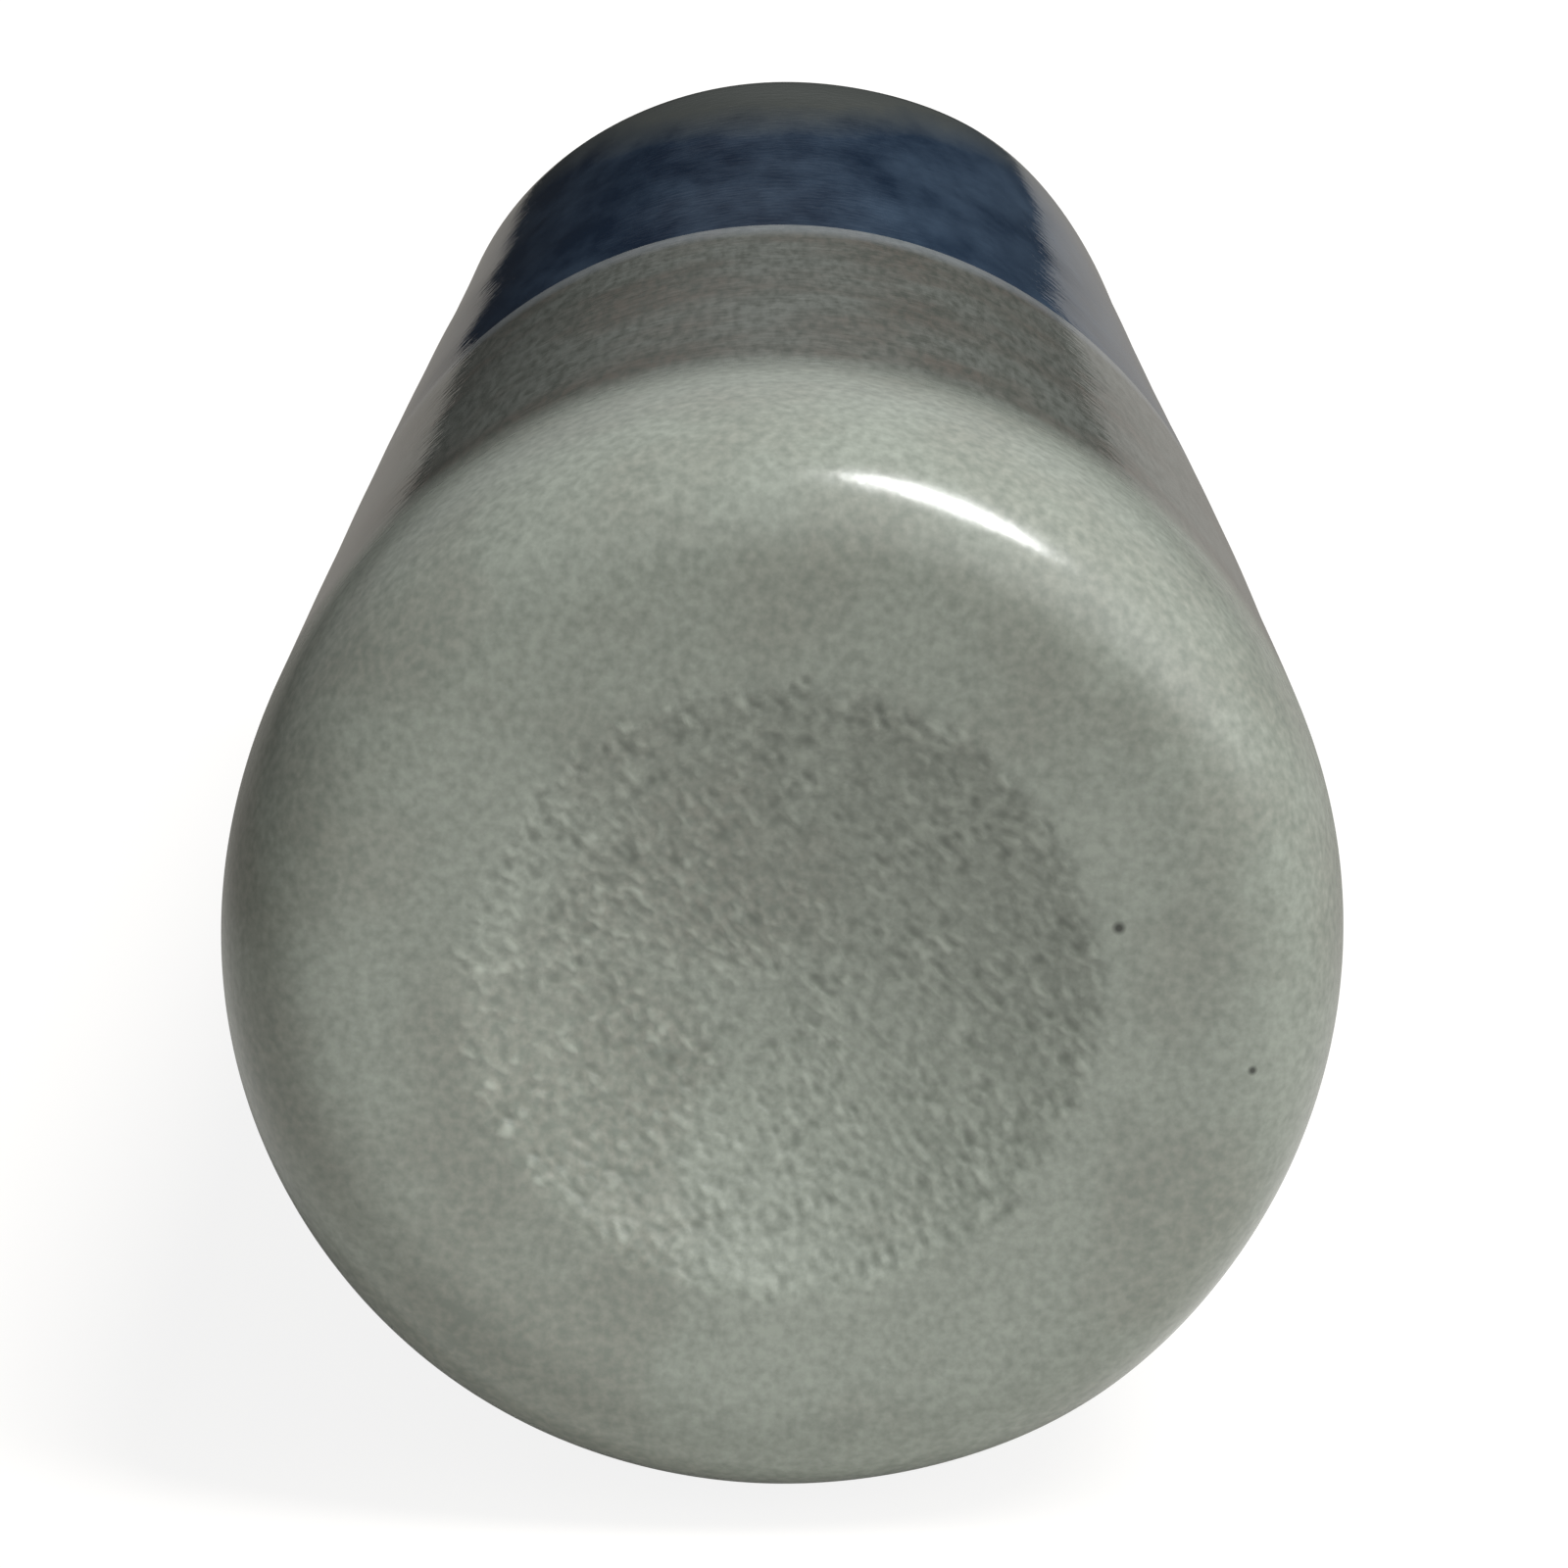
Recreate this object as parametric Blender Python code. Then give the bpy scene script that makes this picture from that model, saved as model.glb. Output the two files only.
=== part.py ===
"""Closed-end guitar slide: a fired clay tube, closed by a disc set in slip, under three coats of glaze.

It lies on its side with its axis along Y. The closed end faces -Y, the mouth faces +Y, the floor is Z = 0.
Run with: blender --background --python part.py
"""

import math

import bmesh
import bpy

MM = 0.001

# Driving sizes, in millimetres
LENGTH = 70.0  # closed end to mouth rim
BORE_DIAMETER = 19.0  # a little finger with room to turn
CLAY_WALL = 2.8  # clay between the bore and the glaze
GLAZE_THICKNESS = 0.5  # each coat of fired glaze
BOND_GAP = 0.2  # between pieces that touch

# The closed end, from its crown towards the mouth
FLANGE_THICKNESS = 3.3  # the disc, where it covers the end of the tube
SLIP_THICKNESS = 0.4  # the slip between the disc and the tube
SPIGOT_LENGTH = 1.7  # how far the disc drops into the bore
END_ROUND_RADIAL = 3.9  # round-over of the closed end, measured across the axis
END_ROUND_AXIAL = 7.4  # and along the axis
END_ROUND_POWER = 3.0  # 2 is an ellipse; more is squarer
CROWN_WIDTH = 2.1  # smooth ring between the round-over and the dish
DISH_DEPTH = 1.4  # the hollow pressed into the closed end

# The side, in zones
PALE_LENGTH = 30.6  # pale glaze, from the closed end to the blue coat
MOUTH_ZONE = 12.1  # from the blue coat's far edge to the mouth rim
BARE_RIM = 1.1  # clay left bare at the mouth
RIM_ROUND = 0.7  # edges of the clay at the mouth
GLAZE_EDGE_ROUND = 0.3  # where the glaze ends at the mouth

# How finely round forms are drawn
SIDES = 48  # a multiple of 4, so that a flat lies underneath
ROUND_STEPS = 9
DISH_STEPS = 5
EDGE_STEPS = 3
SHARP_ANGLE = 40.0  # edges that turn by more than this many degrees look sharp
MERGE_DISTANCE = 0.001  # points on the axis closer than this are one point

# Sizes that follow
BORE_RADIUS = BORE_DIAMETER / 2
CLAY_RADIUS = BORE_RADIUS + CLAY_WALL
OUTER_RADIUS = CLAY_RADIUS + BOND_GAP + GLAZE_THICKNESS
CROWN_RADIUS = OUTER_RADIUS - END_ROUND_RADIAL
DISH_RADIUS = CROWN_RADIUS - CROWN_WIDTH
CLAY_DEPTH = GLAZE_THICKNESS + BOND_GAP
SEAT = CLAY_DEPTH + FLANGE_THICKNESS
SLIP_START = SEAT + BOND_GAP
TUBE_START = SLIP_START + SLIP_THICKNESS + BOND_GAP
BORE_FLOOR = TUBE_START + SPIGOT_LENGTH
BAND_END = LENGTH - MOUTH_ZONE
GLAZE_END = LENGTH - BARE_RIM
HALF_STEP = math.pi / SIDES


def arc(start, end, steps):
    """Angles from start to end, in degrees."""
    return [math.radians(start + (end - start) * i / steps) for i in range(steps + 1)]


def skin_radius(along, depth):
    """Radius of the skin, so far below the outer surface, at a distance from the crown's plane."""
    reach = END_ROUND_AXIAL - depth
    left = max(0.0, END_ROUND_AXIAL - along) / reach
    return CROWN_RADIUS + (END_ROUND_RADIAL - depth) * (1 - left**END_ROUND_POWER) ** (1 / END_ROUND_POWER)


def round_over(depth, start, until):
    """Profile of the skin, so far below the outer surface, between two distances from the crown's plane."""
    reach = END_ROUND_AXIAL - depth
    stops = [start]
    for angle in arc(0, 90, ROUND_STEPS)[1:]:
        along = END_ROUND_AXIAL - reach * math.cos(angle) ** (2 / END_ROUND_POWER)
        if start < along < until:
            stops.append(along)
    stops.append(until)
    return [(skin_radius(along, depth), along) for along in stops]


def skin(depth, until):
    """Profile of the closed end, so far below the outer surface, from the axis out and along the side."""
    points = []
    for i in range(DISH_STEPS + 1):
        share = i / DISH_STEPS
        points.append((DISH_RADIUS * share, depth + DISH_DEPTH * (1 - share**2)))
    return points + round_over(depth, depth, until)


def rounded_edge(radius, along, size, start, end):
    """Points of a rounded edge about a centre. Angle 0 points away from the axis and 90 to the mouth."""
    return [
        (radius + size * math.cos(angle), along + size * math.sin(angle))
        for angle in arc(start, end, EDGE_STEPS)
    ]


def fired(name, colour, roughness):
    """A material for clay or glaze."""
    material = bpy.data.materials.new(name)
    material.use_nodes = True
    shader = material.node_tree.nodes["Principled BSDF"]
    shader.inputs["Base Color"].default_value = (*colour, 1.0)
    shader.inputs["Roughness"].default_value = roughness
    shader.inputs["Metallic"].default_value = 0.0
    return material


def turned(name, profile, material):
    """Spins a profile of (radius, distance from the closed end) about the axis. A flat faces the floor."""
    bm = bmesh.new()
    spread = MM / math.cos(HALF_STEP)
    verts = []
    for radius, along in profile:
        across = radius * spread
        verts.append(bm.verts.new((across * math.sin(HALF_STEP), along * MM, across * math.cos(HALF_STEP))))
    edges = [bm.edges.new(pair) for pair in zip(verts, verts[1:])]
    on_axis = profile[0][0] == 0 and profile[-1][0] == 0
    if not on_axis:
        edges.append(bm.edges.new((verts[-1], verts[0])))
    bmesh.ops.spin(
        bm, geom=verts + edges, cent=(0, 0, 0), axis=(0, 1, 0), angle=math.tau, steps=SIDES, use_merge=True
    )
    bmesh.ops.remove_doubles(bm, verts=bm.verts, dist=MERGE_DISTANCE * MM)
    bmesh.ops.recalc_face_normals(bm, faces=bm.faces)
    mesh = bpy.data.meshes.new(name)
    bm.to_mesh(mesh)
    bm.free()
    mesh.shade_smooth()
    mesh.set_sharp_from_angle(angle=math.radians(SHARP_ANGLE))
    mesh.materials.append(material)
    piece = bpy.data.objects.new(name, mesh)
    bpy.context.scene.collection.objects.link(piece)
    piece.parent = slide_axis


def coat_ring(start, end):
    """Profile of a coat of glaze that goes round the straight side."""
    inner = OUTER_RADIUS - GLAZE_THICKNESS
    return [(inner, start), (OUTER_RADIUS, start), (OUTER_RADIUS, end), (inner, end)]


for old in list(bpy.data.objects):
    bpy.data.objects.remove(old)

# The slide's axis: every piece is turned about it, and it lies one radius above the floor
slide_axis = bpy.data.objects.new("slide_axis", None)
slide_axis.location = (0.0, -LENGTH / 2 * MM, OUTER_RADIUS * MM)
bpy.context.scene.collection.objects.link(slide_axis)

buff_clay = fired("buff_clay", (0.62, 0.55, 0.46), 0.85)
dried_slip = fired("dried_slip", (0.55, 0.49, 0.41), 0.9)
pale_glaze = fired("pale_glaze", (0.27, 0.29, 0.26), 0.12)
cobalt_glaze = fired("cobalt_glaze", (0.02, 0.05, 0.11), 0.12)

# The clay tube: the end that takes the disc follows the round-over, and the mouth's two edges are eased
tube_profile = round_over(CLAY_DEPTH, TUBE_START, LENGTH - RIM_ROUND)[:-1]
tube_profile += rounded_edge(CLAY_RADIUS - RIM_ROUND, LENGTH - RIM_ROUND, RIM_ROUND, 0, 90)
tube_profile += rounded_edge(BORE_RADIUS + RIM_ROUND, LENGTH - RIM_ROUND, RIM_ROUND, 90, 180)
tube_profile.append((BORE_RADIUS, TUBE_START))
turned("clay_tube", tube_profile, buff_clay)

# The clay disc that closes the end: a flange over the end of the tube and a spigot in its bore
spigot_radius = BORE_RADIUS - BOND_GAP
disc_profile = skin(CLAY_DEPTH, SEAT)
disc_profile += [(spigot_radius, SEAT), (spigot_radius, BORE_FLOOR), (0.0, BORE_FLOOR)]
turned("end_disc", disc_profile, buff_clay)

# The ring of slip that holds the disc's flange to the end of the tube
slip_end = SLIP_START + SLIP_THICKNESS
slip_profile = [
    (BORE_RADIUS, SLIP_START),
    (skin_radius(SLIP_START, CLAY_DEPTH), SLIP_START),
    (skin_radius(slip_end, CLAY_DEPTH), slip_end),
    (BORE_RADIUS, slip_end),
]
turned("luting_slip", slip_profile, dried_slip)

# The pale coat over the closed end and the near part of the side
pale_end = PALE_LENGTH - BOND_GAP
end_profile = skin(0.0, pale_end) + skin(GLAZE_THICKNESS, pale_end)[::-1]
turned("end_glaze", end_profile, pale_glaze)

# The blue coat round the middle
turned("cobalt_band", coat_ring(PALE_LENGTH, BAND_END - BOND_GAP), cobalt_glaze)

# The pale coat towards the mouth, which ends in a soft edge and leaves the rim bare
mouth_profile = coat_ring(BAND_END, GLAZE_END)[:2]
mouth_profile += rounded_edge(
    OUTER_RADIUS - GLAZE_EDGE_ROUND, GLAZE_END - GLAZE_EDGE_ROUND, GLAZE_EDGE_ROUND, 0, 90
)
mouth_profile.append((OUTER_RADIUS - GLAZE_THICKNESS, GLAZE_END))
turned("mouth_glaze", mouth_profile, pale_glaze)
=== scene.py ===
import math

import bpy
import numpy as np
from mathutils import Matrix, Vector, noise


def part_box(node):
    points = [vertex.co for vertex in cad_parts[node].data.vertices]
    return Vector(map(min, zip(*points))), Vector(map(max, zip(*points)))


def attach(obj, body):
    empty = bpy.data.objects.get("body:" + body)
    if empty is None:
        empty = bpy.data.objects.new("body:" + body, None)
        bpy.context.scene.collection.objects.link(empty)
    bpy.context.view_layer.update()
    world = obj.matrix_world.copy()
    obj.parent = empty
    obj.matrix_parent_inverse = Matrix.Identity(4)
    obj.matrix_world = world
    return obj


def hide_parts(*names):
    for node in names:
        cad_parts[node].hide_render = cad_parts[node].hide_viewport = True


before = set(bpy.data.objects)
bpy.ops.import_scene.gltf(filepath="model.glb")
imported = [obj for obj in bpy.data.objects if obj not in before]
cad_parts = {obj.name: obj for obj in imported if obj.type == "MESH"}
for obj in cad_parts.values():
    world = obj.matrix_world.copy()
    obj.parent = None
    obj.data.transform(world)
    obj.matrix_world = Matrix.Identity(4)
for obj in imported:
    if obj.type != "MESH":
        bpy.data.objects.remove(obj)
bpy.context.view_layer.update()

# Clay tube
# The body of the slide is a tube of buff stoneware, extruded and fired. Its bore stays bare so that the
# finger grips it, and its mouth was sponged round while soft, then wiped clean to stand on the kiln shelf.
MM = 0.001
BORE_RADIUS = 9.5 * MM
RIM_ROUND = 0.7 * MM
RIM_STEPS = 8
GLAZE_THICKNESS = 0.5 * MM
END_ROUND_RADIAL = 3.9 * MM
END_ROUND_AXIAL = 7.4 * MM
END_ROUND_POWER = 3.0
ROUND_STEPS = 36
SAME_POINT = 0.001 * MM
CLAY_SIDES = 192
SHARP_ANGLE = 40
DRAG_DEPTH = 0.03 * MM
DRAG_WIDTH = 0.9 * MM
DRAG_LENGTH = 40 * MM
# Swells and dips that drying and the kiln left: angle from the top, clockwise as the closed end is seen,
# distance from the closed end, and height
UNEVEN = [
    (35, 70 * MM, 0.31 * MM),
    (-75, 66 * MM, -0.34 * MM),
    (66, 25 * MM, 0.14 * MM),
    (145, 4 * MM, 0.14 * MM),
]
UNEVEN_TURN = math.radians(19)
UNEVEN_REACH = 18 * MM

shell_low, shell_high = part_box("end_glaze")
outer_radius = (shell_high.x - shell_low.x) / 2
axis_height = (shell_high.z + shell_low.z) / 2
closed_end = shell_low.y
end_centre = Vector((0, closed_end, axis_height))
crown_radius = outer_radius - END_ROUND_RADIAL
tube_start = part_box("clay_tube")[0].y - closed_end
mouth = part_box("clay_tube")[1].y - closed_end
clay_radius = outer_radius - GLAZE_THICKNESS


def skin_radius(along, depth):
    """Radius of the skin so far below the glaze's surface, at a distance from the closed end."""
    left = max(0.0, END_ROUND_AXIAL - along) / (END_ROUND_AXIAL - depth)
    bulge = (1 - left**END_ROUND_POWER) ** (1 / END_ROUND_POWER)
    return crown_radius + (END_ROUND_RADIAL - depth) * bulge


def round_over(depth, start, until):
    """Profile of that skin between two distances from the closed end."""
    stops = [start]
    for step in range(1, ROUND_STEPS + 1):
        lift = math.cos(math.pi / 2 * step / ROUND_STEPS) ** (2 / END_ROUND_POWER)
        along = END_ROUND_AXIAL - (END_ROUND_AXIAL - depth) * lift
        if start + SAME_POINT < along < until - SAME_POINT:
            stops.append(along)
    return [(skin_radius(along, depth), along) for along in [*stops, until]]


def eased(radius, along, size, start, end):
    """Points round an edge's centre, where angle 0 points away from the axis and 90 to the mouth."""
    angles = [math.radians(start + (end - start) * i / RIM_STEPS) for i in range(RIM_STEPS + 1)]
    return [(radius + size * math.cos(a), along + size * math.sin(a)) for a in angles]


def out_of_round(angle, along):
    """How far the slide's side stands out there."""
    height = 0.0
    for degrees, middle, swell in UNEVEN:
        turn = math.remainder(angle - math.radians(degrees), math.tau) / UNEVEN_TURN
        height += swell * math.exp(-(turn**2) - ((along - middle) / UNEVEN_REACH) ** 2)
    return height


def turned(name, profile, sides, relief):
    """Spins a profile of (radius, distance from the closed end) about the slide's axis.

    relief(point) says how far the surface stands out there, along its normal.
    """
    shape = np.array(profile)
    on_axis = shape[0, 0] == 0
    around = shape if on_axis else np.vstack([shape[-1:], shape, shape[:1]])
    slope = np.gradient(around, axis=0)
    slope = slope if on_axis else slope[1:-1]
    outward = np.stack([slope[:, 1], -slope[:, 0]], axis=1)
    outward /= np.linalg.norm(outward, axis=1, keepdims=True)
    points, rings = [], []
    for (radius, along), (out_radius, out_along) in zip(shape, outward):
        count = sides if radius > 0 else 1
        rings.append([len(points) + i for i in range(count)])
        for i in range(count):
            angle = math.tau * i / sides
            sine, cosine = math.sin(angle), math.cos(angle)
            across = radius * (1 + out_of_round(angle, along) / outer_radius)
            point = Vector((across * sine, along, across * cosine))
            point += relief(point) * Vector((out_radius * sine, out_along, out_radius * cosine))
            points.append(point + end_centre)
    faces = []
    for here, there in zip(rings, rings[1:] if on_axis else rings[1:] + rings[:1]):
        for i in range(sides):
            loop = [here[i % len(here)], here[(i + 1) % len(here)]]
            loop += [there[(i + 1) % len(there)], there[i % len(there)]]
            faces.append(list(dict.fromkeys(loop)))
    mesh = bpy.data.meshes.new(name)
    mesh.from_pydata(points, [], faces)
    mesh.shade_smooth()
    mesh.set_sharp_from_angle(angle=math.radians(SHARP_ANGLE))
    piece = bpy.data.objects.new(name, mesh)
    bpy.context.scene.collection.objects.link(piece)
    return piece


def dress(piece, node, material):
    """Gives a piece its material and lets it stand for a CAD node."""
    piece.data.materials.append(material)
    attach(piece, "root")
    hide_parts(node)


def linear(code):
    """An sRGB hex colour as linear RGBA."""
    channels = [int(code[i : i + 2], 16) / 255 for i in (1, 3, 5)]
    return (*[c / 12.92 if c <= 0.04045 else ((c + 0.055) / 1.055) ** 2.4 for c in channels], 1.0)


def per(size):
    """The texture scale at which one feature is this big."""
    return 1 / size


def surface(name):
    """A new material, with its nodes."""
    material = bpy.data.materials.new(name)
    material.use_nodes = True
    return material


def wire(node, inputs):
    """Sets a node's sockets. A socket of another node is linked, and any other value is set."""
    for socket, value in inputs.items():
        if isinstance(value, bpy.types.NodeSocket):
            node.id_data.links.new(value, node.inputs[socket])
        else:
            node.inputs[socket].default_value = value


def add(material, kind, inputs, **settings):
    """Adds a node with its settings and links."""
    node = material.node_tree.nodes.new(kind)
    for name, value in settings.items():
        setattr(node, name, value)
    wire(node, inputs)
    return node


def drag_marks(point):
    """Shallow lines that the extruder's die left along the bore and the mouth."""
    lines = Vector((point.x / DRAG_WIDTH, point.y / DRAG_LENGTH, point.z / DRAG_WIDTH))
    return DRAG_DEPTH * noise.noise(lines)


tube_profile = round_over(GLAZE_THICKNESS, tube_start, mouth - RIM_ROUND)[:-1]
tube_profile += eased(clay_radius - RIM_ROUND, mouth - RIM_ROUND, RIM_ROUND, 0, 90)
tube_profile += eased(BORE_RADIUS + RIM_ROUND, mouth - RIM_ROUND, RIM_ROUND, 90, 180)
tube_profile += [(BORE_RADIUS, tube_start)]

# Bare fired stoneware: matt and dry, speckled with dark grog, browner in patches where the kiln toasted it.
CLAY_BUFF = "#C9B69A"
CLAY_TOASTED = "#B39C7C"
GROG_DARK = "#7F6E58"
TOAST_SIZE = 9 * MM
GROG_SPACING = 0.7 * MM
GROG_CORE = 0.12
GROG_EDGE = 0.2
GROG_SHARE = 0.6
GRIT_SIZE = 0.35 * MM
GRIT_HEIGHT = 0.05 * MM
GRIT_STRENGTH = 0.6
CLAY_ROUGHNESS = 0.85
# Sockets of a colour mix, which have to be picked by number: its share, its two colours and its result
SHARE = 0
UNDER = 6
OVER = 7
MIXED = 2
buff_clay = surface("bare_fired_stoneware")
place = add(buff_clay, "ShaderNodeTexCoord", {})
toast = add(buff_clay, "ShaderNodeTexNoise", {"Vector": place.outputs["Object"], "Scale": per(TOAST_SIZE)})
grog = add(
    buff_clay, "ShaderNodeTexVoronoi", {"Vector": place.outputs["Object"], "Scale": per(GROG_SPACING)}
)
grog_mask = add(
    buff_clay,
    "ShaderNodeMapRange",
    {
        "Value": grog.outputs["Distance"],
        "From Min": GROG_CORE,
        "From Max": GROG_EDGE,
        "To Min": GROG_SHARE,
        "To Max": 0.0,
    },
)
clay_tone = add(
    buff_clay,
    "ShaderNodeMix",
    {SHARE: toast.outputs["Fac"], UNDER: linear(CLAY_BUFF), OVER: linear(CLAY_TOASTED)},
    data_type="RGBA",
)
clay_colour = add(
    buff_clay,
    "ShaderNodeMix",
    {SHARE: grog_mask.outputs["Result"], UNDER: clay_tone.outputs[MIXED], OVER: linear(GROG_DARK)},
    data_type="RGBA",
)
grit = add(
    buff_clay,
    "ShaderNodeTexNoise",
    {"Vector": place.outputs["Object"], "Scale": per(GRIT_SIZE), "Detail": 3.0},
)
clay_bump = add(
    buff_clay,
    "ShaderNodeBump",
    {"Height": grit.outputs["Fac"], "Strength": GRIT_STRENGTH, "Distance": GRIT_HEIGHT},
)
wire(
    buff_clay.node_tree.nodes["Principled BSDF"],
    {
        "Base Color": clay_colour.outputs[MIXED],
        "Normal": clay_bump.outputs["Normal"],
        "Roughness": CLAY_ROUGHNESS,
    },
)

clay_tube = turned("stoneware_tube", tube_profile, CLAY_SIDES, drag_marks)
dress(clay_tube, "clay_tube", buff_clay)

# End disc
# A disc of the same clay closes the tube. Its flange covers the tube's end, its spigot drops into the bore,
# and a hollow was pressed into its outer face with a rough pad. Only its inner face shows, down the bore.
DISH_DEPTH = 1.4 * MM
DISH_EASE = 0.1 * MM
CROWN_WIDTH = 2.1 * MM
SPIGOT_EASE = 0.5 * MM
SEAT_GAP = 0.2 * MM
THUMB_HEIGHT = 0.08 * MM
THUMB_WIDTH = 5 * MM
dish_radius = crown_radius - CROWN_WIDTH
bore_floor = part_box("end_disc")[1].y - closed_end
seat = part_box("luting_slip")[0].y - closed_end - SEAT_GAP
spigot_radius = BORE_RADIUS - SEAT_GAP


def dish(depth, steps):
    """Profile of the hollow and the crown round it, so far below the glaze's surface."""
    points = []
    for i in range(steps):
        radius = crown_radius * i / steps
        hollow = DISH_DEPTH * (1 - (radius / dish_radius) ** 2)
        points.append((radius, depth + (hollow + math.hypot(hollow, DISH_EASE)) / 2))
    return points


def thumbed(point):
    """The soft unevenness of clay that was pressed home by hand."""
    return THUMB_HEIGHT * noise.noise(point / THUMB_WIDTH)


disc_profile = dish(GLAZE_THICKNESS, RIM_STEPS) + round_over(GLAZE_THICKNESS, GLAZE_THICKNESS, seat)
disc_profile += [(spigot_radius, seat)]
disc_profile += eased(spigot_radius - SPIGOT_EASE, bore_floor - SPIGOT_EASE, SPIGOT_EASE, 0, 90)
disc_profile += [(spigot_radius * i / RIM_STEPS, bore_floor) for i in range(RIM_STEPS - 1, -1, -1)]
end_disc = turned("stoneware_end_disc", disc_profile, CLAY_SIDES, thumbed)
dress(end_disc, "end_disc", buff_clay)

# Luting slip
# Wet clay, brushed on the scored edges before the disc was pushed home. It is fired hard now, a thin ring
# between the disc's flange and the tube's end, with the rippled faces of a joint that was pressed shut.
SLIP_INSET = 0.1 * MM
RIPPLE_HEIGHT = 0.04 * MM
RIPPLE_WIDTH = 1.5 * MM
slip_low, slip_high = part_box("luting_slip")
slip_start = slip_low.y - closed_end
slip_end = slip_high.y - closed_end


def pressed(point):
    """Ripples where the slip was squeezed."""
    return RIPPLE_HEIGHT * noise.noise(point / RIPPLE_WIDTH)


slip_profile = [
    (skin_radius(slip_start, GLAZE_THICKNESS) - SLIP_INSET, slip_start),
    (skin_radius(slip_end, GLAZE_THICKNESS) - SLIP_INSET, slip_end),
    (BORE_RADIUS + SLIP_INSET, slip_end),
    (BORE_RADIUS + SLIP_INSET, slip_start),
]

# Fired slip: the clay body without its grog, finer and a little darker than the tube.
SLIP_LIGHT = "#B5A184"
SLIP_DARK = "#A08C70"
STREAK_SIZE = 1.2 * MM
SLIP_ROUGHNESS = 0.9
dried_slip = surface("fired_clay_slip")
place = add(dried_slip, "ShaderNodeTexCoord", {})
streak = add(
    dried_slip, "ShaderNodeTexNoise", {"Vector": place.outputs["Object"], "Scale": per(STREAK_SIZE)}
)
slip_colour = add(
    dried_slip,
    "ShaderNodeMix",
    {SHARE: streak.outputs["Fac"], UNDER: linear(SLIP_LIGHT), OVER: linear(SLIP_DARK)},
    data_type="RGBA",
)
wire(
    dried_slip.node_tree.nodes["Principled BSDF"],
    {"Base Color": slip_colour.outputs[MIXED], "Roughness": SLIP_ROUGHNESS},
)
luting_slip = turned("luting_slip_ring", slip_profile, CLAY_SIDES, pressed)
dress(luting_slip, "luting_slip", dried_slip)

# End glaze
# A pale glaze, poured over the closed end and down the side as far as the blue. It softened every edge as
# it melted, and lies thin enough over the pressed hollow for the pad's rough print to show.
GLAZE_SIDES = 640
DISH_STEPS = 140
SIDE_STEP = 0.8 * MM
WAVE_HEIGHT = 0.02 * MM
WAVE_LENGTH = 6 * MM
# The pad's print: its grains lean one way and come in several sizes, each with its share of the height
GRAIN_WIDTH = 0.22 * MM
GRAIN_LENGTH = 0.33 * MM
GRAIN_HEIGHT = 0.027 * MM
GRAIN_LEAN = math.radians(-45)
GRAIN_SIZES = [(1.0, 1.0), (0.55, 0.4), (2.2, 0.5)]
# It is blotchy, deeper at the top, folded up round its edge, and fades out along an uneven line
BLOTCH_SIZE = 1.6 * MM
BLOTCH_MEAN = 0.95
BLOTCH_SWING = 0.35
PRESS_LEAN = 0.2
FOLD_WIDTH = 1.2 * MM
FOLD_RISE = 0.25
EDGE_WANDER = 0.35 * MM
EDGE_LENGTH = 0.8 * MM
GRAIN_FADE = 0.4 * MM
blue_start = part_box("cobalt_band")[0].y - closed_end


def printed_grain(point):
    """Height of the pad's print in the hollow, from about -1 to 1."""
    from_axis = math.hypot(point.x, point.z) + EDGE_WANDER * noise.noise(point / EDGE_LENGTH)
    if point.y > 2 * DISH_DEPTH or from_axis > dish_radius + GRAIN_FADE:
        return 0.0
    run = point.x * math.cos(GRAIN_LEAN) + point.z * math.sin(GRAIN_LEAN)
    across = point.z * math.cos(GRAIN_LEAN) - point.x * math.sin(GRAIN_LEAN)
    height = 0.0
    for size, share in GRAIN_SIZES:
        spot = Vector((run / (size * GRAIN_LENGTH), across / (size * GRAIN_WIDTH), size))
        height += share * noise.noise(spot)
    blotch = BLOTCH_MEAN + BLOTCH_SWING * noise.noise(point / BLOTCH_SIZE)
    height *= blotch + PRESS_LEAN * point.z / dish_radius
    height *= 1 + FOLD_RISE * max(0.0, from_axis - dish_radius + FOLD_WIDTH) / FOLD_WIDTH
    return height * min(1.0, (dish_radius + GRAIN_FADE - from_axis) / GRAIN_FADE)


def melted(point):
    """Slow waves in the melted glaze, and the print under it."""
    return WAVE_HEIGHT * noise.noise(point / WAVE_LENGTH) + GRAIN_HEIGHT * printed_grain(point)


side_steps = int((blue_start - END_ROUND_AXIAL) / SIDE_STEP)
side = [
    (outer_radius, END_ROUND_AXIAL + (blue_start - END_ROUND_AXIAL) * i / side_steps)
    for i in range(1, side_steps + 1)
]
end_profile = dish(0.0, DISH_STEPS) + round_over(0.0, 0.0, END_ROUND_AXIAL) + side
inner_skin = dish(GLAZE_THICKNESS, RIM_STEPS) + round_over(GLAZE_THICKNESS, GLAZE_THICKNESS, blue_start)
end_profile += inner_skin[::-1]

# Gloss glaze, pale green grey: glassy, so it mirrors at a slant, with faint clouds and two iron specks.
# Over the closed end: its two tones, a warm blush, and painted shade in the print's pits with painted
# glints on its crests
GLAZE_PALE = "#9BA197"
GLAZE_CLOUD = "#80867D"
GLAZE_BLUSH = "#9B9C92"
PIT_SHADE = "#666C63"
CREST_GLINT = "#B4BAAF"
CLOUD_SIZE = 4 * MM
FLECK_SIZE = 0.24 * MM
FLECK_SHARE = 1.6
MOTTLE_FROM = 0.9
MOTTLE_TO = 1.7
BLUSH_FROM = 0.45
BLUSH_TO = 0.65
# Painted shade in the print's pits and painted glints on its crests: the height at which each starts,
# the height at which it is full, and its colour
PRINT_SHADE_AND_GLINT = [(-0.1, -1.1, PIT_SHADE), (0.2, 1.2, CREST_GLINT)]
PRINT_SHADING_SHARE = 0.75
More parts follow.
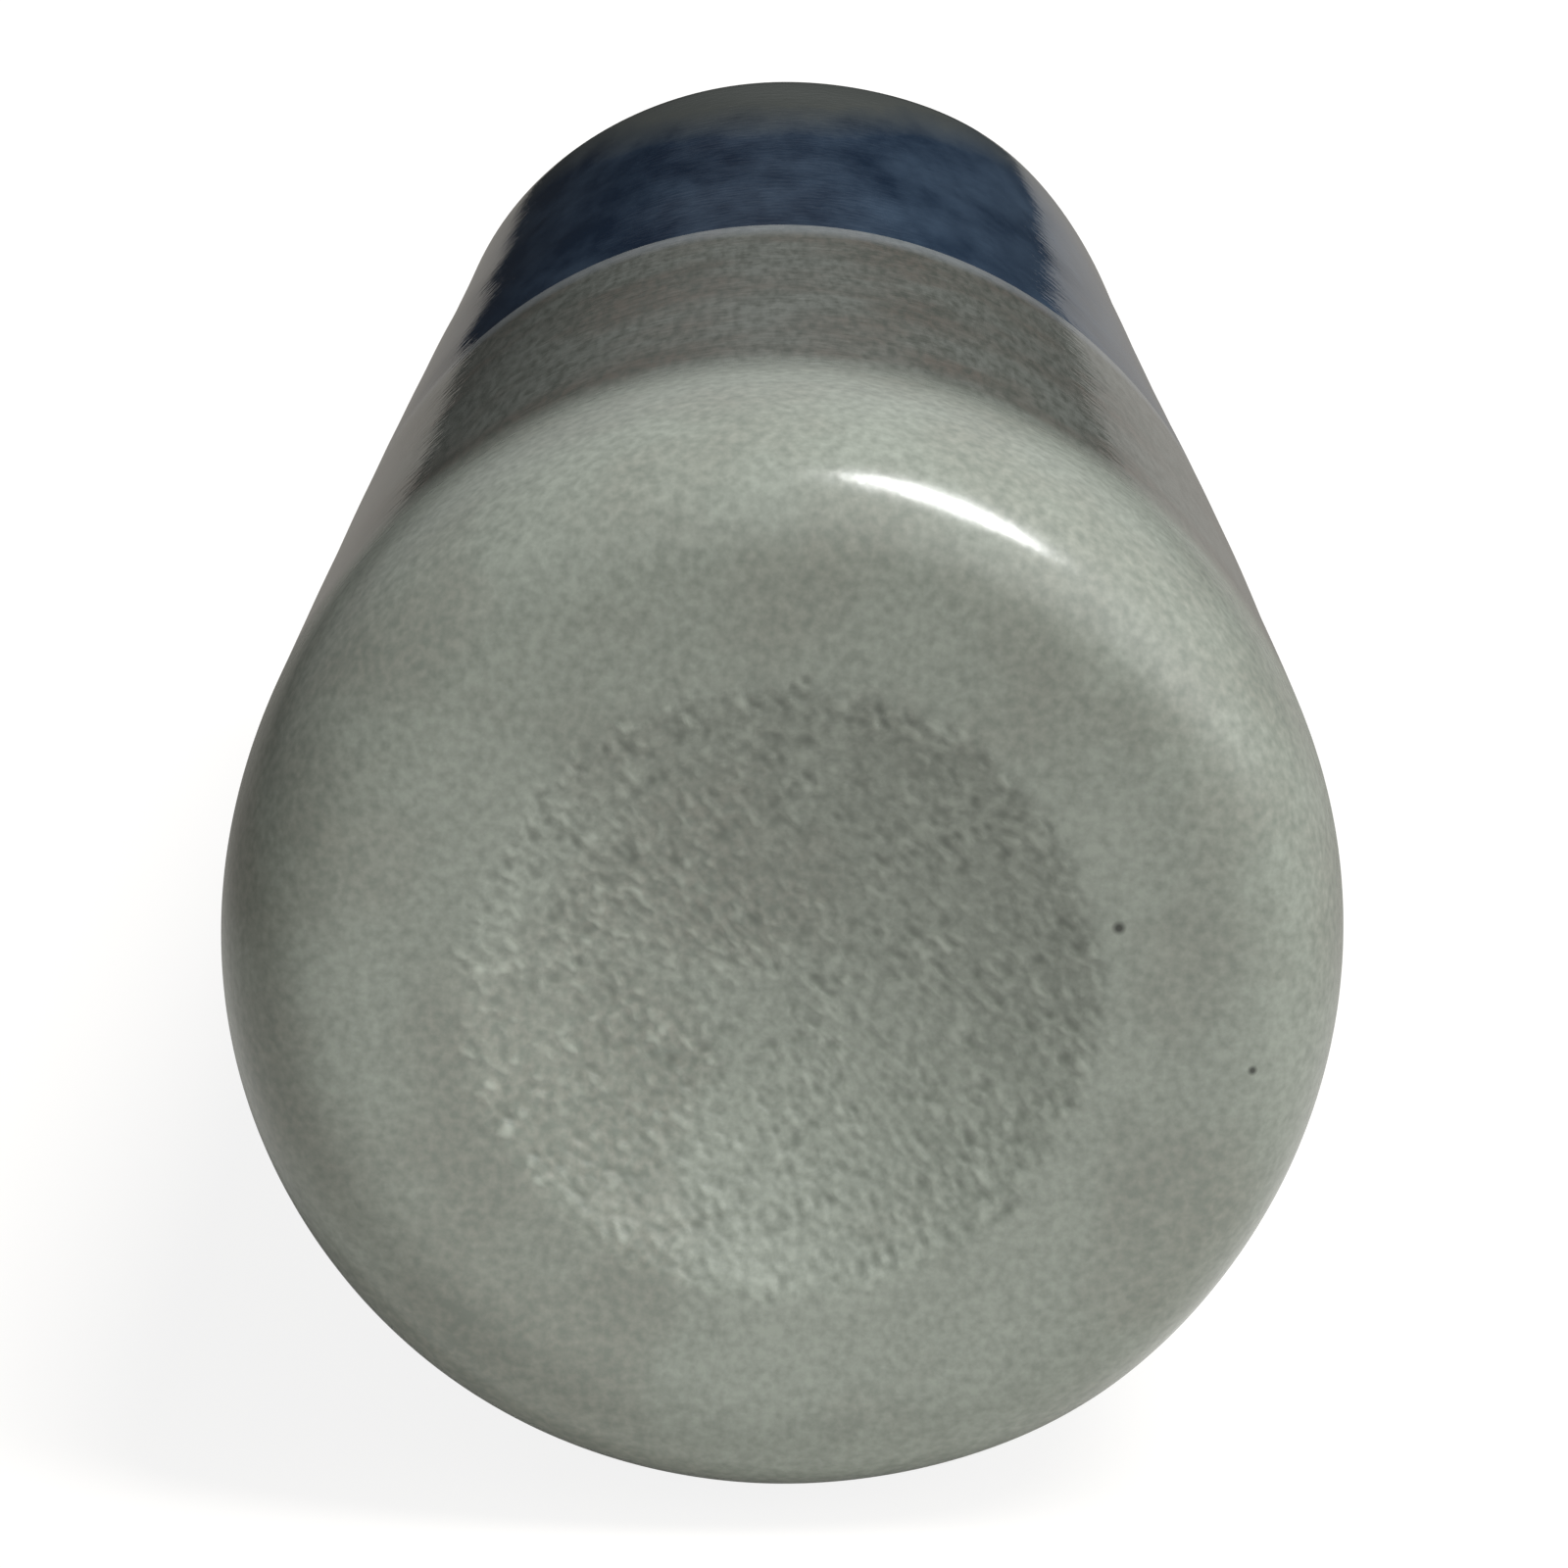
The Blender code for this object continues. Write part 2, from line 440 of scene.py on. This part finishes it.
# Down the side: its tone, darker than over the end as painted shade, warm clouds, dark runs along the
# tube, and a pale band by the blue, partly a cobalt bloom and partly a painted highlight
GLAZE_SIDE_SHADED = "#727570"
GLAZE_WARM = "#68625B"
GLAZE_RUN = "#50534D"
BLOOM_AND_EDGE_HIGHLIGHT = "#A6ADB4"
SIDE_SHADE_FROM = 0.8 * END_ROUND_AXIAL
SIDE_SHADE_TO = 1.2 * END_ROUND_AXIAL
SIDE_SHADE_SHARE = 0.85
RUN_WIDTH = 0.24 * MM
RUN_STRETCH = (1.0, 0.2, 1.0)
RUN_FROM = 0.38
RUN_TO = 0.68
BLOOM_HIGHLIGHT_FROM = blue_start - 2.2 * MM
BLOOM_HIGHLIGHT_TO = blue_start - 0.8 * MM
BLOOM_HIGHLIGHT_SHARE = 0.45
# Its gloss, a little softer over the end than down the side, and the faint orange peel of its skin
END_ROUGHNESS = 0.2
SIDE_ROUGHNESS = 0.04
GLAZE_IOR = 1.52
PEEL_SIZE = 0.5 * MM
PEEL_HEIGHT = 0.008 * MM
# Its iron specks fade from core to edge, in shares of their radius. Each one: its angle from the top,
# clockwise as the closed end is seen, its distance from the axis, its distance from the closed end's plane,
# and its radius
IRON = "#1C1D1A"
SPECK_CORE = 0.5
SPECK_EDGE = 1.5
SPECK_SHARE = 0.85
SPECKS = [(77.5, 7.6 * MM, 0.0, 0.12 * MM), (99.2, 10.6 * MM, 0.14 * MM, 0.09 * MM)]


def glossed(material, colour, roughness):
    """Finishes a glaze with its colour, its gloss and its orange peel."""
    place = add(material, "ShaderNodeTexCoord", {})
    peel = add(material, "ShaderNodeTexNoise", {"Vector": place.outputs["Object"], "Scale": per(PEEL_SIZE)})
    bump = add(material, "ShaderNodeBump", {"Height": peel.outputs["Fac"], "Distance": PEEL_HEIGHT})
    wire(
        material.node_tree.nodes["Principled BSDF"],
        {"Base Color": colour, "Normal": bump.outputs["Normal"], "Roughness": roughness, "IOR": GLAZE_IOR},
    )


pale_glaze = surface("gloss_glaze_pale_grey")
place = add(pale_glaze, "ShaderNodeTexCoord", {})
cloud = add(
    pale_glaze,
    "ShaderNodeTexNoise",
    {"Vector": place.outputs["Object"], "Scale": per(CLOUD_SIZE), "Detail": 4.0},
)
fleck = add(
    pale_glaze,
    "ShaderNodeTexNoise",
    {"Vector": place.outputs["Object"], "Scale": per(FLECK_SIZE), "Detail": 3.0},
)
mottle = add(
    pale_glaze,
    "ShaderNodeMath",
    {0: fleck.outputs["Fac"], 1: FLECK_SHARE, 2: cloud.outputs["Fac"]},
    operation="MULTIPLY_ADD",
)
mottle_mask = add(
    pale_glaze,
    "ShaderNodeMapRange",
    {"Value": mottle.outputs[0], "From Min": MOTTLE_FROM, "From Max": MOTTLE_TO},
)
warm_mask = add(
    pale_glaze,
    "ShaderNodeMapRange",
    {"Value": cloud.outputs["Fac"], "From Min": BLUSH_FROM, "From Max": BLUSH_TO},
)
blushed = add(
    pale_glaze,
    "ShaderNodeMix",
    {SHARE: warm_mask.outputs["Result"], UNDER: linear(GLAZE_PALE), OVER: linear(GLAZE_BLUSH)},
    data_type="RGBA",
)
pale_tone = add(
    pale_glaze,
    "ShaderNodeMix",
    {SHARE: mottle_mask.outputs["Result"], UNDER: blushed.outputs[MIXED], OVER: linear(GLAZE_CLOUD)},
    data_type="RGBA",
)
grain = add(pale_glaze, "ShaderNodeAttribute", {}, attribute_name="grain")
# Painted shade in the pits and painted glints on the crests, following the height of the print's grain.
for plain, full, tone in PRINT_SHADE_AND_GLINT:
    grain_shading_mask = add(
        pale_glaze,
        "ShaderNodeMapRange",
        {"Value": grain.outputs["Fac"], "From Min": plain, "From Max": full, "To Max": PRINT_SHADING_SHARE},
    )
    pale_tone = add(
        pale_glaze,
        "ShaderNodeMix",
        {SHARE: grain_shading_mask.outputs["Result"], UNDER: pale_tone.outputs[MIXED], OVER: linear(tone)},
        data_type="RGBA",
    )
split = add(pale_glaze, "ShaderNodeSeparateXYZ", {0: place.outputs["Object"]})
# Painted shade: this mask gives the side its darker tone, and it also makes the side's gloss sharper.
thin_brush_and_side_shade_mask = add(
    pale_glaze,
    "ShaderNodeMapRange",
    {
        "Value": split.outputs["Y"],
        "From Min": closed_end + SIDE_SHADE_FROM,
        "From Max": closed_end + SIDE_SHADE_TO,
        "To Max": SIDE_SHADE_SHARE,
    },
)
drawn_out = add(
    pale_glaze, "ShaderNodeVectorMath", {0: place.outputs["Object"], 1: RUN_STRETCH}, operation="MULTIPLY"
)
runs = add(
    pale_glaze,
    "ShaderNodeTexNoise",
    {"Vector": drawn_out.outputs["Vector"], "Scale": per(RUN_WIDTH), "Detail": 3.0},
)
run_mask = add(
    pale_glaze,
    "ShaderNodeMapRange",
    {"Value": runs.outputs["Fac"], "From Min": RUN_FROM, "From Max": RUN_TO},
)
# The side's tone is painted shade: it is darker than the end only for the light that falls on it.
shaded_side_tone = linear(GLAZE_SIDE_SHADED)
for mask, tone in [(warm_mask, GLAZE_WARM), (run_mask, GLAZE_RUN)]:
    shaded_side_tone = add(
        pale_glaze,
        "ShaderNodeMix",
        {SHARE: mask.outputs["Result"], UNDER: shaded_side_tone, OVER: linear(tone)},
        data_type="RGBA",
    ).outputs[MIXED]
side_tone = add(
    pale_glaze,
    "ShaderNodeMix",
    {SHARE: thin_brush_and_side_shade_mask.outputs["Result"], UNDER: pale_tone.outputs[MIXED], OVER: shaded_side_tone},
    data_type="RGBA",
)
# A pale bluish band just short of the blue: partly a cobalt bloom, partly a painted highlight along its
# edge.
bloom_and_highlight_mask = add(
    pale_glaze,
    "ShaderNodeMapRange",
    {
        "Value": split.outputs["Y"],
        "From Min": closed_end + BLOOM_HIGHLIGHT_FROM,
        "From Max": closed_end + BLOOM_HIGHLIGHT_TO,
        "To Max": BLOOM_HIGHLIGHT_SHARE,
    },
)
colour = add(
    pale_glaze,
    "ShaderNodeMix",
    {SHARE: bloom_and_highlight_mask.outputs["Result"], UNDER: side_tone.outputs[MIXED], OVER: linear(BLOOM_AND_EDGE_HIGHLIGHT)},
    data_type="RGBA",
).outputs[MIXED]
for degrees, from_axis, from_end, size in SPECKS:
    angle = math.radians(degrees)
    spot = (
        from_axis * math.sin(angle),
        closed_end + from_end,
        axis_height + from_axis * math.cos(angle),
    )
    reach = add(
        pale_glaze,
        "ShaderNodeVectorMath",
        {0: place.outputs["Object"], 1: spot},
        operation="DISTANCE",
    )
    speck = add(
        pale_glaze,
        "ShaderNodeMapRange",
        {
            "Value": reach.outputs["Value"],
            "From Min": SPECK_CORE * size,
            "From Max": SPECK_EDGE * size,
            "To Min": SPECK_SHARE,
            "To Max": 0.0,
        },
    )
    colour = add(
        pale_glaze,
        "ShaderNodeMix",
        {SHARE: speck.outputs["Result"], UNDER: colour, OVER: linear(IRON)},
        data_type="RGBA",
    ).outputs[MIXED]
gloss = add(
    pale_glaze,
    "ShaderNodeMapRange",
    {"Value": thin_brush_and_side_shade_mask.outputs["Result"], "To Min": END_ROUGHNESS, "To Max": SIDE_ROUGHNESS},
)
glossed(pale_glaze, colour, gloss.outputs["Result"])

end_glaze = turned("pale_end_glaze", end_profile, GLAZE_SIDES, melted)
heights = [printed_grain(vertex.co - end_centre) for vertex in end_glaze.data.vertices]
end_glaze.data.attributes.new("grain", "FLOAT", "POINT").data.foreach_set("value", heights)
dress(end_glaze, "end_glaze", pale_glaze)

# Cobalt band
# Cobalt blue, brushed on along the tube in broad strokes side by side, starting at a masked ring. The ring
# left a crisp edge towards the closed end, and each stroke ran out unevenly near the mouth.
BLUE_SIDES = 256
blue_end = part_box("mouth_glaze")[0].y - closed_end
glaze_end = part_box("mouth_glaze")[1].y - closed_end


def coat(start, end):
    """Profile of a coat of glaze on the straight side."""
    steps = int((end - start) / SIDE_STEP)
    outer = [(outer_radius, start + (end - start) * i / steps) for i in range(steps + 1)]
    return outer + [(clay_radius, end), (clay_radius, start)]


# Cobalt under gloss glaze: deep where the brush was full, thin and foggy along the strokes, and gone in
# scallops near the mouth where each stroke ran dry.
COBALT_DEEP = "#041F38"
COBALT_THIN = "#4F6379"
COBALT_WASH = "#5C605D"
# The brush: its bristle marks, drawn out along the tube, and how the blue pales from left to right
BRISTLE_WIDTH = 2 * MM
BRISTLE_STRETCH = (1.0, 0.25, 1.0)
BLUE_PALING_WIDTH = 55 * MM
BRUSH_FULL = 0.3
BRUSH_DRY = 1.0
# The strokes round the tube, and where they end: the middle, the swing of the scallops, the frayed length,
# and the turn of the first scallop from the top
STROKES = 4
STROKE_MIDDLE = 61.5 * MM
STROKE_SWING = 5 * MM
STROKE_FRAY = 5 * MM
STROKE_TURN = math.radians(-1.5)
cobalt_glaze = surface("gloss_glaze_brushed_cobalt")
place = add(cobalt_glaze, "ShaderNodeTexCoord", {})
split = add(cobalt_glaze, "ShaderNodeSeparateXYZ", {0: place.outputs["Object"]})
drawn_out = add(
    cobalt_glaze,
    "ShaderNodeVectorMath",
    {0: place.outputs["Object"], 1: BRISTLE_STRETCH},
    operation="MULTIPLY",
)
bristles = add(
    cobalt_glaze,
    "ShaderNodeTexNoise",
    {"Vector": drawn_out.outputs["Vector"], "Scale": per(BRISTLE_WIDTH), "Detail": 6.0, "Roughness": 0.62},
)
load = add(
    cobalt_glaze,
    "ShaderNodeMath",
    {0: split.outputs["X"], 1: per(BLUE_PALING_WIDTH), 2: bristles.outputs["Fac"]},
    operation="MULTIPLY_ADD",
)
thin_brush_and_side_shade_mask = add(
    cobalt_glaze,
    "ShaderNodeMapRange",
    {"Value": load.outputs[0], "From Min": BRUSH_FULL, "From Max": BRUSH_DRY},
)
cobalt_tone = add(
    cobalt_glaze,
    "ShaderNodeMix",
    {SHARE: thin_brush_and_side_shade_mask.outputs["Result"], UNDER: linear(COBALT_DEEP), OVER: linear(COBALT_THIN)},
    data_type="RGBA",
)
above_axis = add(
    cobalt_glaze, "ShaderNodeMath", {0: split.outputs["Z"], 1: axis_height}, operation="SUBTRACT"
)
turn = add(
    cobalt_glaze, "ShaderNodeMath", {0: split.outputs["X"], 1: above_axis.outputs[0]}, operation="ARCTAN2"
)
turns = add(
    cobalt_glaze,
    "ShaderNodeMath",
    {0: turn.outputs[0], 1: STROKES, 2: -STROKES * STROKE_TURN},
    operation="MULTIPLY_ADD",
)
scallop = add(cobalt_glaze, "ShaderNodeMath", {0: turns.outputs[0]}, operation="COSINE")
stroke_end = add(
    cobalt_glaze,
    "ShaderNodeMath",
    {0: scallop.outputs[0], 1: -STROKE_SWING, 2: closed_end + STROKE_MIDDLE},
    operation="MULTIPLY_ADD",
)
past_end = add(
    cobalt_glaze,
    "ShaderNodeMath",
    {0: split.outputs["Y"], 1: stroke_end.outputs[0]},
    operation="SUBTRACT",
)
fray = add(
    cobalt_glaze,
    "ShaderNodeMath",
    {0: bristles.outputs["Fac"], 1: 2 * STROKE_FRAY, 2: past_end.outputs[0]},
    operation="MULTIPLY_ADD",
)
dry_mask = add(
    cobalt_glaze,
    "ShaderNodeMapRange",
    {"Value": fray.outputs[0], "From Min": 0.0, "From Max": 2 * STROKE_FRAY},
)
blue_colour = add(
    cobalt_glaze,
    "ShaderNodeMix",
    {SHARE: dry_mask.outputs["Result"], UNDER: cobalt_tone.outputs[MIXED], OVER: linear(COBALT_WASH)},
    data_type="RGBA",
)
glossed(cobalt_glaze, blue_colour.outputs[MIXED], SIDE_ROUGHNESS)

cobalt_band = turned("brushed_cobalt_band", coat(blue_start, blue_end), BLUE_SIDES, melted)
dress(cobalt_band, "cobalt_band", cobalt_glaze)

# Mouth glaze
# The same pale glaze carries on from the blue to just short of the mouth, with the ends of the blue strokes
# in it. It ends in a soft rolled edge, because the rim was wiped clean before the firing.
ROLL = 0.3 * MM
mouth_profile = coat(blue_end, glaze_end - ROLL)[:-2]
mouth_profile += eased(outer_radius - ROLL, glaze_end - ROLL, ROLL, 0, 90)[1:]
mouth_profile += [(clay_radius, glaze_end), (clay_radius, blue_end)]
mouth_glaze = turned("pale_mouth_glaze", mouth_profile, BLUE_SIDES, melted)
dress(mouth_glaze, "mouth_glaze", cobalt_glaze)

# Floor and light
# A matt grey table top in a dim room, with a window above on the right. A bright patch in front of the
# closed end lights its underside, and a card of black felt stands behind the slide for its gloss to mirror.
TABLE_SIZE = (16.0, 16.0)
TABLE_DROP = 0.1 * MM
TABLE_GREY = "#706D68"
# How far the camera's view of it is lifted near the slide, the distances between which that rises to white,
# and the share of it that the gloss gets
TABLE_LIFT = 0.87
WHITE_NEAR = 0.12
WHITE_FAR = 0.5
GLOSS_SHARE = 0.1
# The bright patch, and the stretch from left to right in which the table comes out of the shade
LIT_TONE = "#DCDCD8"
LIT_MIDDLE = (-0.02, closed_end - 15 * MM, 0)
LIT_NEAR = 0.02
LIT_FAR = 0.1
SHADE_FROM = -0.14
SHADE_TO = 0.06


def card(name, size, matrix, material):
    """A flat rectangle of the stage."""
    width, height = size[0] / 2, size[1] / 2
    mesh = bpy.data.meshes.new(name)
    corners = [(-width, -height, 0), (width, -height, 0), (width, height, 0), (-width, height, 0)]
    mesh.from_pydata(corners, [], [(0, 1, 2, 3)])
    mesh.materials.append(material)
    piece = bpy.data.objects.new(name, mesh)
    piece.matrix_world = matrix
    bpy.context.scene.collection.objects.link(piece)
    return piece


# Matt table paint, without gloss. The camera sees it lifted to white, with the slide's shadow on it. The
# slide's gloss gets a small share of that lift, on the right alone, because its sides mirror a dim room.
# The bright patch lights the slide and shows in its gloss, but the camera doesn't see it.
table_paint = surface("matt_table_paint")
place = add(table_paint, "ShaderNodeTexCoord", {})
seen = add(table_paint, "ShaderNodeLightPath", {})
through = add(
    table_paint,
    "ShaderNodeMath",
    {0: seen.outputs["Is Camera Ray"], 1: seen.outputs["Is Transmission Ray"]},
    operation="ADD",
)
split = add(table_paint, "ShaderNodeSeparateXYZ", {0: place.outputs["Object"]})
shade = add(
    table_paint,
    "ShaderNodeMapRange",
    {"Value": split.outputs["X"], "From Min": SHADE_FROM, "From Max": SHADE_TO},
    interpolation_type="SMOOTHSTEP",
)
mirrored = add(
    table_paint, "ShaderNodeMath", {0: shade.outputs["Result"], 1: GLOSS_SHARE}, operation="MULTIPLY"
)
shown = add(
    table_paint,
    "ShaderNodeMath",
    {0: seen.outputs["Is Glossy Ray"], 1: mirrored.outputs[0], 2: through.outputs[0]},
    operation="MULTIPLY_ADD",
)
reach = add(
    table_paint, "ShaderNodeVectorMath", {0: place.outputs["Object"], 1: LIT_MIDDLE}, operation="DISTANCE"
)
whiter = add(
    table_paint,
    "ShaderNodeMapRange",
    {
        "Value": reach.outputs["Value"],
        "From Min": WHITE_NEAR,
        "From Max": WHITE_FAR,
        "To Min": TABLE_LIFT,
        "To Max": 1.0,
    },
)
lift = add(
    table_paint, "ShaderNodeMath", {0: shown.outputs[0], 1: whiter.outputs["Result"]}, operation="MULTIPLY"
)
patch = add(
    table_paint,
    "ShaderNodeMapRange",
    {"Value": reach.outputs["Value"], "From Min": LIT_FAR, "From Max": LIT_NEAR},
    interpolation_type="SMOOTHSTEP",
)
sunlit = add(
    table_paint,
    "ShaderNodeMath",
    {0: patch.outputs["Result"], 1: shade.outputs["Result"]},
    operation="MULTIPLY",
)
felt = add(
    table_paint,
    "ShaderNodeMath",
    {0: sunlit.outputs[0], 1: through.outputs[0]},
    operation="SUBTRACT",
    use_clamp=True,
)
table_colour = add(
    table_paint,
    "ShaderNodeMix",
    {SHARE: felt.outputs[0], UNDER: linear(TABLE_GREY), OVER: linear(LIT_TONE)},
    data_type="RGBA",
)
wire(
    table_paint.node_tree.nodes["Principled BSDF"],
    {
        "Base Color": table_colour.outputs[MIXED],
        "Roughness": 1.0,
        "Specular IOR Level": 0.0,
        "Emission Color": (1.0, 1.0, 1.0, 1.0),
        "Emission Strength": lift.outputs[0],
    },
)
card("table_top", TABLE_SIZE, Matrix.Translation((0, 0, -TABLE_DROP)), table_paint)

FELT_SIZE = (1.2, 0.11)
FELT_PLACE = (0.0, 0.34, 0.064)
FELT_ROLL = math.radians(7.5)
FELT_SOFT = 62 * MM
FELT_BLACK = "#101214"
# Black felt, near black and without gloss, which thins out towards its top edge
black_felt = surface("black_felt")
place = add(black_felt, "ShaderNodeTexCoord", {})
split = add(black_felt, "ShaderNodeSeparateXYZ", {0: place.outputs["Object"]})
thinned = add(
    black_felt,
    "ShaderNodeMapRange",
    {
        "Value": split.outputs["Y"],
        "From Min": FELT_SIZE[1] / 2 - FELT_SOFT,
        "From Max": FELT_SIZE[1] / 2,
        "To Min": 1.0,
        "To Max": 0.0,
    },
)
wire(
    black_felt.node_tree.nodes["Principled BSDF"],
    {"Base Color": linear(FELT_BLACK), "Roughness": 1.0, "Alpha": thinned.outputs["Result"]},
)
standing = Matrix.Translation(FELT_PLACE) @ Matrix.Rotation(-FELT_ROLL, 4, "Y")
dark_card = card("dark_card", FELT_SIZE, standing @ Matrix.Rotation(math.radians(90), 4, "X"), black_felt)
dark_card.visible_camera = False
dark_card.visible_diffuse = False
dark_card.visible_shadow = False

# The window is an oval of soft light, a metre away
WINDOW_TOWARDS = Vector((0.38, -0.25, 0.89)).normalized()
WINDOW_ALONG = Vector((0.76, -0.49, -0.43))
WINDOW_DISTANCE = 1.0
WINDOW_SIZE = (0.56, 0.28)
WINDOW_POWER = 11.0
lamp = bpy.data.lights.new("window", "AREA")
lamp.shape = "ELLIPSE"
lamp.size, lamp.size_y = WINDOW_SIZE
lamp.energy = WINDOW_POWER
window = bpy.data.objects.new("window", lamp)
window_up = WINDOW_TOWARDS.cross(WINDOW_ALONG).normalized()
window_side = window_up.cross(WINDOW_TOWARDS)
facing = Matrix((window_side, window_up, WINDOW_TOWARDS)).transposed().to_4x4()
window.matrix_world = Matrix.Translation(WINDOW_TOWARDS * WINDOW_DISTANCE) @ facing
bpy.context.scene.collection.objects.link(window)

# The room is dim near the floor and glows softly from each of these sides above it. The camera sees white.
ROOM_LOW = 0.08
ROOM_SIDES = [
    ((0.75, -0.6, 0.35), 1.75),
    ((0.0, -1.0, 0.2), 0.1),
    ((0.0, 1.0, 0.3), 0.2),
]
ROOM_FADE = 4.0
ROOM_WALL = 0.35
world = bpy.data.worlds.new("studio")
world.use_nodes = True
place = add(world, "ShaderNodeTexCoord", {})
split = add(world, "ShaderNodeSeparateXYZ", {0: place.outputs["Generated"]})
room = 0.0
for towards, strength in ROOM_SIDES:
    turned_to = add(
        world,
        "ShaderNodeVectorMath",
        {0: place.outputs["Generated"], 1: Vector(towards).normalized()},
        operation="DOT_PRODUCT",
    )
    ahead = add(world, "ShaderNodeMath", {0: turned_to.outputs["Value"], 1: 0.0}, operation="MAXIMUM")
    glow = add(world, "ShaderNodeMath", {0: ahead.outputs[0], 1: ROOM_FADE}, operation="POWER")
    room = add(
        world,
        "ShaderNodeMath",
        {0: glow.outputs[0], 1: strength, 2: room},
        operation="MULTIPLY_ADD",
    ).outputs[0]
risen = add(
    world,
    "ShaderNodeMapRange",
    {"Value": split.outputs["Z"], "From Min": 0.0, "From Max": ROOM_WALL},
    interpolation_type="SMOOTHSTEP",
)
room = add(
    world,
    "ShaderNodeMath",
    {0: room, 1: risen.outputs["Result"], 2: ROOM_LOW},
    operation="MULTIPLY_ADD",
).outputs[0]
seen = add(world, "ShaderNodeLightPath", {})
through = add(
    world,
    "ShaderNodeMath",
    {0: seen.outputs["Is Camera Ray"], 1: seen.outputs["Is Transmission Ray"]},
    operation="ADD",
)
shown = add(world, "ShaderNodeMix", {"Factor": through.outputs[0], "A": room, "B": 1.0})
wire(
    world.node_tree.nodes["Background"],
    {"Color": (1.0, 1.0, 1.0, 1.0), "Strength": shown.outputs["Result"]},
)
bpy.context.scene.world = world
bpy.context.scene.view_settings.view_transform = "Standard"

# Camera
# It looks along the slide from a hand's width in front of the closed end and a little above it.
PHOTO_SIZE = 1600
FOCAL_PIXELS = 4581
SENSOR = 36.0
END_CENTRE_PIXEL = (797.8, 1020.2)
END_DISTANCE = 99.2 * MM
PITCH = math.radians(14.82)
NEAREST = 10 * MM
forward = Vector((0, math.cos(PITCH), -math.sin(PITCH)))
upward = Vector((0, math.sin(PITCH), math.cos(PITCH)))
right_of_middle = (END_CENTRE_PIXEL[0] - PHOTO_SIZE / 2) / FOCAL_PIXELS * END_DISTANCE
below_middle = (END_CENTRE_PIXEL[1] - PHOTO_SIZE / 2) / FOCAL_PIXELS * END_DISTANCE
eye = end_centre - forward * END_DISTANCE + upward * below_middle - Vector((right_of_middle, 0, 0))
camera = bpy.data.cameras.new("camera")
camera.sensor_width = SENSOR
camera.lens = SENSOR * FOCAL_PIXELS / PHOTO_SIZE
camera.clip_start = NEAREST
viewer = bpy.data.objects.new("camera", camera)
viewer.matrix_world = Matrix.Translation(eye) @ (-forward).to_track_quat("Z", "Y").to_matrix().to_4x4()
bpy.context.scene.collection.objects.link(viewer)
bpy.context.scene.camera = viewer
